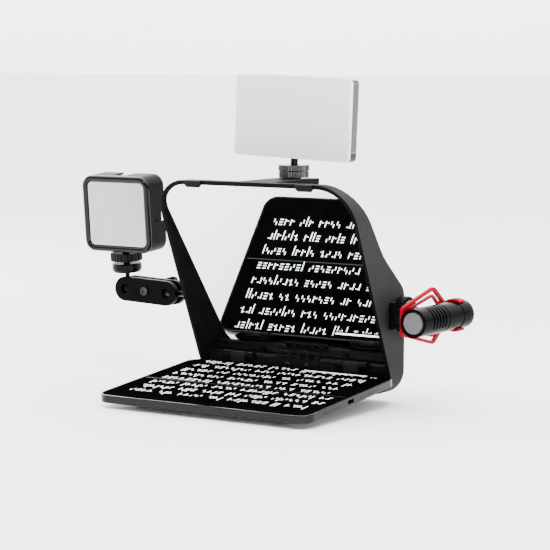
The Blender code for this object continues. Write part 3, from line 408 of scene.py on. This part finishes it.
def make_finishes():
    """Every finish by name. Most names are those of the CAD's material slots."""
    return {
        "black_metal": grained("black_metal", BLACK, 0.30, shine=0.06).material,
        "ball_metal": grained("ball_metal", BLACK, 0.16, grain=900, depth=0.003, shine=0.3).material,
        "mic_metal": mic_finish(),
        "grey_metal": grained("grey_metal", (0.006, 0.006, 0.0062), 0.36, shine=0.08).material,
        "hood": hood_finish(),
        "tablet_metal": grained("tablet_metal", (0.012, 0.012, 0.0128), 0.24, 0.85, grain=5200, depth=0.01,
                                spread=0.06).material,
        "black_plastic": grained("black_plastic", (0.0036, 0.0036, 0.0038), 0.45, grain=1700, depth=0.06,
                                 shine=0.06).material,
        "cube_plastic": grained("cube_plastic", (0.0036, 0.0036, 0.0038), 0.40, grain=1500, depth=0.02,
                                shine=0.035).material,
        "arm_metal": grained("arm_metal", BLACK, 0.36, shine=0.022).material,
        "ring_metal": grained("ring_metal", (0.026, 0.026, 0.0265), 0.30, 0.6, grain=1900,
                              depth=0.02).material,
        "gloss_black": grained("gloss_black", (0.0016, 0.0016, 0.0017), 0.10, grain=400, depth=0.002,
                               shine=0.20).material,
        "mirror_glass": grained("mirror_glass", (0.93, 0.94, 0.94), 0.012, 1.0, grain=300, depth=0,
                                spread=0.006).material,
        "screen_glass": grained("screen_glass", (0.0012, 0.0012, 0.0013), 0.12, grain=200, depth=0,
                                spread=0.3, shine=0.0).material,
        "diffuser": diffuser_finish("diffuser", "panel_diffuser", (0.70, 0.70, 0.715), LAMP_PITCH),
        "grey_diffuser": diffuser_finish("grey_diffuser", "cube_diffuser", (0.46, 0.46, 0.475),
                                         WIDE_LAMP_PITCH),
        "aluminium": panel_metal(),
        "steel": grained("steel", (0.30, 0.30, 0.31), 0.24, 1.0, grain=2600, depth=0.01, spread=0.08,
                         streak=(0.06, 1, 1)).material,
        "dark_steel": grained("dark_steel", (0.030, 0.030, 0.031), 0.22, 1.0, grain=2600,
                              depth=0.01).material,
        "nut_face": grained("nut_face", (0.10, 0.10, 0.104), 0.30, 0.9, grain=2000, depth=0.02,
                            streak=(1, 0.1, 1)).material,
        "mesh_grey": grained("mesh_grey", (0.115, 0.115, 0.118), 0.40, 0.4, grain=4000, depth=0.01).material,
        "red_plastic": grained("red_plastic", (0.27, 0.0004, 0.0100), 0.45, grain=1500, depth=0.012,
                               spread=0.06, shine=0.02).material,
        "rubber": grained("rubber", BLACK, 0.75, grain=1400, depth=0.08, shine=0.1).material,
        "board": board_finish(),
        "cell": grained("cell", (0.07, 0.073, 0.083), 0.35, 0.4, spread=0.1).material,
    }


FINISH = make_finishes()

# ---------------------------------------------------------------- helpers

SHARP = math.radians(34)                    # edges that turn by more than this stay sharp or are bevelled
FLAT = math.radians(0.6)
WELD = 0.002 * MM


def new_piece(name, shape, finish, body, smooth=True):
    """A piece from a bmesh, with its finish, riding on a body."""
    mesh = bpy.data.meshes.new(name)
    bmesh.ops.recalc_face_normals(shape, faces=shape.faces)
    shape.to_mesh(mesh)
    shape.free()
    if smooth:
        mesh.shade_smooth()
        mesh.set_sharp_from_angle(angle=SHARP)
    mesh.materials.append(FINISH[finish])
    piece = bpy.data.objects.new(name, mesh)
    bpy.context.scene.collection.objects.link(piece)
    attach(piece, body)
    return piece


def ease_edges(node, width, segments):
    """Round a CAD node's edges: weld its faces, merge the flat ones and bevel what stays sharp."""
    piece = NODES[node]
    piece.data.shade_smooth()
    weld = piece.modifiers.new("weld", "WELD")
    weld.merge_threshold = WELD
    flat = piece.modifiers.new("flat", "DECIMATE")
    flat.decimate_type = "DISSOLVE"
    flat.angle_limit = FLAT
    edge = piece.modifiers.new("edge", "BEVEL")
    edge.width = width
    edge.segments = segments
    edge.limit_method = "ANGLE"
    edge.angle_limit = SHARP
    edge.harden_normals = True
    weighted = piece.modifiers.new("weighted", "WEIGHTED_NORMAL")
    weighted.weight = 80


def extent(node, frame_of):
    """A node's lowest and highest corners in a frame."""
    inverse = frame_of.inverted()
    points = [inverse @ vertex.co for vertex in NODES[node].data.vertices]
    return [Vector([pick(point[k] for point in points) for k in range(3)]) for pick in (min, max)]


# ---------------------------------------------------------------- the tablet's picture

ROW_PITCH = 14.6 * MM
FIRST_ROW = 27.0 * MM                       # from the screen's near edge to the foot of the first row
LEFT_MARGIN = 15 * MM
MARK_GAP = 2.1 * MM
WORD_GAP = 4.6 * MM
TALLEST = 9.2 * MM
SCREEN_FOOT = 2.2 * MM                      # no mark comes nearer the screen's far edge than this
BAR_RIGHT, BAR_LEFT = 22 * MM, 78 * MM      # the progress line, from the screen's right edge
BAR_FAR, BAR_NEAR = 3.6 * MM, 5.2 * MM      # and from its far edge
BAR_CLEAR = 1.4 * MM
SHORTEST_WORD = 9 * MM                      # a row ends when less room than this is left
RAGGED = (6, 20)                            # how far short of the right edge a row stops, in mm
WORD_LENGTHS = (2, 3, 4, 4, 5, 6, 7, 9)
MARK_THICK, MARK_LIFT = 0.03 * MM, 0.04 * MM
CUE_ROW = 2.35                              # the cue line's place, in rows from the first
CUE_THICK, CUE_INSET = 0.5 * MM, 2 * MM
STROKE = 0.85                               # in mm, like the marks
MARKS = (
    # width, then the left and foot of each post with its height, then those of each dash with its length
    (3.6, ((0.0, 0.0, 6.0),), ((1.8, 3.8, 1.8),)),
    (3.6, ((2.7, 0.0, 6.0),), ((0.0, 0.6, 1.7),)),
    (3.6, ((0.0, 0.0, 3.2), (2.4, 2.8, 3.2)), ()),
    (3.6, ((0.0, 2.8, 3.2), (2.4, 0.0, 3.2)), ()),
    (0.9, ((0.0, 0.0, 9.2),), ()),
    (3.4, (), ((0.0, 5.1, 3.4), (0.0, 2.6, 3.4), (0.0, 0.1, 3.4))),
    (3.6, ((1.3, 0.0, 6.0),), ((2.9, 0.6, 0.9), (-0.6, 4.2, 0.9))),
)


def tray_frame():
    """The tray's own frame: its hinge as the origin, and Z square to the tablet's screen."""
    face = max(NODES["tablet_screen"].data.polygons, key=lambda polygon: polygon.area)
    up = face.normal if face.normal.z > 0 else -face.normal
    hinge = Vector(JOINTS["tray_fold"]["pos_m"])
    return Matrix.Translation(hinge) @ Matrix.Rotation(math.atan2(-up.y, up.z), 4, "X")


TRAY = tray_frame()


def tile(shape, low_x, high_x, low_y, high_y, z):
    """A thin block on the screen, given in the tray's frame."""
    made = bmesh.ops.create_cube(shape, size=1.0)["verts"]
    size = (high_x - low_x, high_y - low_y, MARK_THICK)
    middle = ((low_x + high_x) / 2, (low_y + high_y) / 2, z + MARK_LIFT)
    placed = TRAY @ Matrix.Translation(middle) @ Matrix.Diagonal((*size, 1))
    bmesh.ops.transform(shape, matrix=placed, verts=made)


def draw_mark(shape, mark, x, foot, last, z):
    """One mark of posts and dashes on its row, cut off where the screen or the progress line begins."""
    _, posts, dashes = mark
    strokes = [(left, foot_up, STROKE, tall) for left, foot_up, tall in posts]
    strokes += [(left, foot_up, length, STROKE) for left, foot_up, length in dashes]
    for left, foot_up, across, tall in strokes:
        far = min(foot - foot_up * MM, last)
        near = foot - (foot_up + tall) * MM
        if near < far:
            tile(shape, x + left * MM, x + (left + across) * MM, near, far, z)


def screen_words():
    """Rows of word-like runs of marks. The marks are posts and dashes, and none of them is a letter."""
    rng = random.Random(7)
    low, high = extent("tablet_screen", TRAY)
    shape = bmesh.new()
    foot = low.y + FIRST_ROW
    while foot - TALLEST < high.y - SCREEN_FOOT:
        x = low.x + LEFT_MARGIN
        limit = high.x - rng.uniform(*RAGGED) * MM
        while x < limit - SHORTEST_WORD:
            for _ in range(rng.choice(WORD_LENGTHS)):
                mark = rng.choice(MARKS)
                wide = mark[0] * MM
                if x + wide > limit:
                    break
                beside_bar = x + wide > high.x - BAR_LEFT - BAR_CLEAR
                end = BAR_NEAR + BAR_CLEAR if beside_bar else SCREEN_FOOT
                draw_mark(shape, mark, x, foot, high.y - end, high.z)
                x += wide + MARK_GAP
            x += WORD_GAP
        foot += ROW_PITCH
    new_piece("screen_words", shape, "words", "tray", smooth=False)


def screen_lines():
    """The dark green cue line across the screen, and the white progress line at its far edge."""
    low, high = extent("tablet_screen", TRAY)
    shape = bmesh.new()
    cue = low.y + FIRST_ROW + CUE_ROW * ROW_PITCH
    tile(shape, low.x + CUE_INSET, high.x - CUE_INSET, cue, cue + CUE_THICK, high.z)
    new_piece("cue_line", shape, "cue", "tray", smooth=False)
    shape = bmesh.new()
    tile(shape, high.x - BAR_LEFT, high.x - BAR_RIGHT, high.y - BAR_NEAR, high.y - BAR_FAR, high.z)
    new_piece("progress_line", shape, "words", "tray", smooth=False)


FINISH["words"] = glowing("screen_words", (0.92, 0.93, 0.93), 2.4)
FINISH["cue"] = glowing("cue_line", (0.0015, 0.016, 0.009), 0.5)

# ---------------------------------------------------------------- microphone

WIRE_PITCH, WIRE_RADIUS = 0.62 * MM, 0.17 * MM
WIRE_DEPTH, WIRE_WAVE = 0.35 * MM, 0.10 * MM
BACKING = 0.5 * MM
LIP_BORE, LIP_TALL, LIP_SUNK = 8.5 * MM, 0.26 * MM, 0.02 * MM


def wire(shape, points, radius):
    """A thin square wire through points."""
    rings = []
    for index, point in enumerate(points):
        ahead = points[min(index + 1, len(points) - 1)] - points[max(index - 1, 0)]
        side = ahead.cross(Vector((0, 1, 0))).normalized() * radius
        lift = Vector((0, radius, 0))
        rings.append([shape.verts.new(point + offset) for offset in (side, lift, -side, -lift)])
    for first, second in zip(rings, rings[1:]):
        for k in range(4):
            shape.faces.new((first[k], first[(k + 1) % 4], second[(k + 1) % 4], second[k]))
    shape.faces.new(rings[0][::-1])
    shape.faces.new(rings[-1])


def mic_mesh():
    """Woven wire over the microphone's front, in place of the plain disc."""
    low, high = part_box("mic_grille")
    middle = (low + high) / 2
    radius = (high.x - low.x) / 2
    count = int(radius / WIRE_PITCH)
    shape = bmesh.new()
    for along, across in ((Vector((1, 0, 0)), Vector((0, 0, 1))), (Vector((0, 0, 1)), Vector((1, 0, 0)))):
        for k in range(-count, count + 1):
            half = math.sqrt(max(radius ** 2 - (k * WIRE_PITCH) ** 2, 0))
            steps = int(2 * half / WIRE_PITCH)
            if steps < 2:
                continue
            points = []
            for step in range(steps + 1):
                run = -half + 2 * half * step / steps
                wave = WIRE_WAVE * (-1) ** (step + k) * (1 if along.x else -1)
                points.append(Vector((middle.x, low.y + WIRE_DEPTH + wave, middle.z)) + along * run
                              + across * (k * WIRE_PITCH))
            wire(shape, points, WIRE_RADIUS)
    disc = bmesh.ops.create_cone(shape, cap_ends=True, segments=48, radius1=radius, radius2=radius,
                                 depth=BACKING)["verts"]
    back = Vector((middle.x, high.y - BACKING / 2, middle.z))
    place = Matrix.Translation(back) @ Matrix.Rotation(math.pi / 2, 4, "X")
    bmesh.ops.transform(shape, matrix=place, verts=disc)
    piece = new_piece("mic_mesh", shape, "mesh_grey", "mic")
    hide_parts("mic_grille")


# ---------------------------------------------------------------- small light's bezel

BEZEL_CORNER = 9.5 * MM
BEZEL_PROFILE = (
    # inward from the outer edge and outward from the housing, in mm
    (0, 0), (0, 1.3), (0.15, 2.1), (0.6, 2.9), (1.3, 3.4), (2.2, 3.62), (3.2, 3.55), (4.1, 3.15), (4.7, 2.4),
    (4.95, 1.5), (4.95, 0),
)


def face_frame(node, toward):
    """A frame on a CAD node's largest face that looks a given way: its Z is the face's normal."""
    faces = [face for face in NODES[node].data.polygons if face.normal.dot(Vector(toward)) > 0.8]
    up = max(faces, key=lambda face: face.area).normal
    low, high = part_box(node)
    across = Vector((1, 0, 0))
    turn = Matrix((across, up.cross(across), up)).transposed().to_4x4()
    return Matrix.Translation((low + high) / 2) @ turn


def rounded_path(half_wide, half_tall, radius, steps=8):
    """Points round a rounded rectangle, each with the direction that leads out of it."""
    points = []
    for index, (u, v) in enumerate(((1, 1), (-1, 1), (-1, -1), (1, -1))):
        centre = Vector((u * (half_wide - radius), v * (half_tall - radius)))
        for k in range(steps + 1):
            turn = math.radians(90 * index + 90 * k / steps)
            out = Vector((math.cos(turn), math.sin(turn)))
            points.append((centre + out * radius, out))
    return points


def swept_frame(name, node, toward, radius, profile, finish):
    """A frame of one cross-section swept round a rounded rectangle, in place of a CAD node."""
    place = face_frame(node, toward)
    low, high = extent(node, place)
    path = rounded_path((high.x - low.x) / 2, (high.y - low.y) / 2, radius)
    shape = bmesh.new()
    rings = []
    for point, out in path:
        rings.append([shape.verts.new(place @ Vector((*(point - out * inset), low.z + rise)))
                      for inset, rise in profile])
    for k, first in enumerate(rings):
        second = rings[(k + 1) % len(rings)]
        for j in range(len(profile)):
            n = (j + 1) % len(profile)
            shape.faces.new((first[j], second[j], second[n], first[n]))
    piece = new_piece(name, shape, finish, NODES[node]["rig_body"])
    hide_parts(node)


def cube_frame():
    """The small light's half-round bezel, in place of the flat-edged one."""
    profile = [(inset * MM, rise * MM) for inset, rise in BEZEL_PROFILE]
    swept_frame("cube_bezel_ring", "cube_bezel", (0, -1, 0), BEZEL_CORNER, profile, "gloss_black")


# ---------------------------------------------------------------- turned trim

RING_SIDES = 48
WASHER_BORE, WASHER_RADIUS, WASHER_TALL = 4.6 * MM, 11.2 * MM, 1.3 * MM


def lathe(shape, profile, place):
    """A closed ring from a loop of (radius, height)."""
    rings = []
    for k in range(RING_SIDES):
        turn = 2 * math.pi * k / RING_SIDES
        across, up = math.cos(turn), math.sin(turn)
        rings.append([shape.verts.new(place @ Vector((reach * across, reach * up, height)))
                      for reach, height in profile])
    for k in range(RING_SIDES):
        first, second = rings[k], rings[(k + 1) % RING_SIDES]
        for j in range(len(profile)):
            n = (j + 1) % len(profile)
            shape.faces.new((first[j], first[n], second[n], second[j]))


def collar_ring(name, at, axis, inner, outer, tall, finish, body):
    """A ring with eased edges, standing on a point along an axis."""
    ease = min(0.25 * tall, 0.4 * MM)
    profile = ((inner, 0), (outer - ease, 0), (outer, ease), (outer, tall - ease), (outer - ease, tall),
               (inner, tall))
    turn = Vector((0, 0, 1)).rotation_difference(Vector(axis))
    shape = bmesh.new()
    lathe(shape, profile, Matrix.Translation(at) @ turn.to_matrix().to_4x4())
    new_piece(name, shape, finish, body)


def nut_washer():
    """The bright washer on the outer end of the microphone's lock nut."""
    low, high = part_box("mic_lock_nut")
    middle = Vector((high.x, (low.y + high.y) / 2, (low.z + high.z) / 2))
    collar_ring("nut_washer", middle, (1, 0, 0), WASHER_BORE, WASHER_RADIUS, WASHER_TALL, "nut_face",
                NODES["mic_lock_nut"]["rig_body"])


def mic_lip():
    """The black lip round the microphone's mesh, sunk into the tube's mouth."""
    low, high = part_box("mic_body")
    mesh_low, mesh_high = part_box("mic_grille")
    front = Vector(((low.x + high.x) / 2, low.y + LIP_SUNK, (low.z + high.z) / 2))
    radius = (mesh_high.x - mesh_low.x) / 2
    collar_ring("mic_lip", front, (0, 1, 0), LIP_BORE, radius, LIP_TALL, "mic_metal", "mic")


# ---------------------------------------------------------------- making the scene

PLAIN_EDGE = (0.2, 2)
EDGES = {
    # width in mm and segments
    "hood_frame": (0.35, 2), "tablet_case": (0.30, 2), "tray_plate": (0.50, 2), "cube_housing": (0.6, 2),
    "mic_lyre": (0.85, 3), "panel_housing": (0.5, 2), "panel_lower_ring": (0.3, 2), "mic_lock_nut": (0.35, 2),
    "panel_upper_ring": (0.3, 2), "cube_lock_ring": (0.35, 2), "side_shoe": (0.4, 2), "apron": (0.3, 2),
    "rear_shell": (0.3, 1), "arm_lever": (0.5, 2), "cube_diffuser": (0.2, 1),
}
SMOOTH = ("beam_splitter_glass", "tablet_screen", "panel_diffuser", "mic_body", "cube_stand",
          "hood_ball_stud", "arm_front_cheek", "arm_rear_cheek")
OWN_FINISH = {
    "hood_frame": "hood", "mic_body": "mic_metal", "hood_ball_stud": "ball_metal",
    "cube_housing": "cube_plastic", "arm_front_cheek": "arm_metal", "arm_rear_cheek": "arm_metal",
    "panel_lower_ring": "ring_metal", "panel_upper_ring": "ring_metal", "arm_bolt": "dark_steel",
    "block_screw_left": "dark_steel", "block_screw_right": "dark_steel", "hinge_pin_left": "dark_steel",
    "hinge_pin_right": "dark_steel",
}


def finish_nodes():
    """Give every CAD node its finish, and eased edges or smooth round faces."""
    for name, piece in NODES.items():
        piece.data.materials.clear()
        piece.data.materials.append(FINISH[OWN_FINISH.get(name, SLOT_OF[name])])
        if name in SMOOTH:
            piece.data.shade_smooth()
            piece.data.set_sharp_from_angle(angle=SHARP)
        else:
            width, segments = EDGES.get(name, PLAIN_EDGE)
            ease_edges(name, width * MM, segments)


make_camera()
make_studio()
finish_nodes()
screen_words()
screen_lines()
mic_mesh()
mic_lip()
nut_washer()
cube_frame()
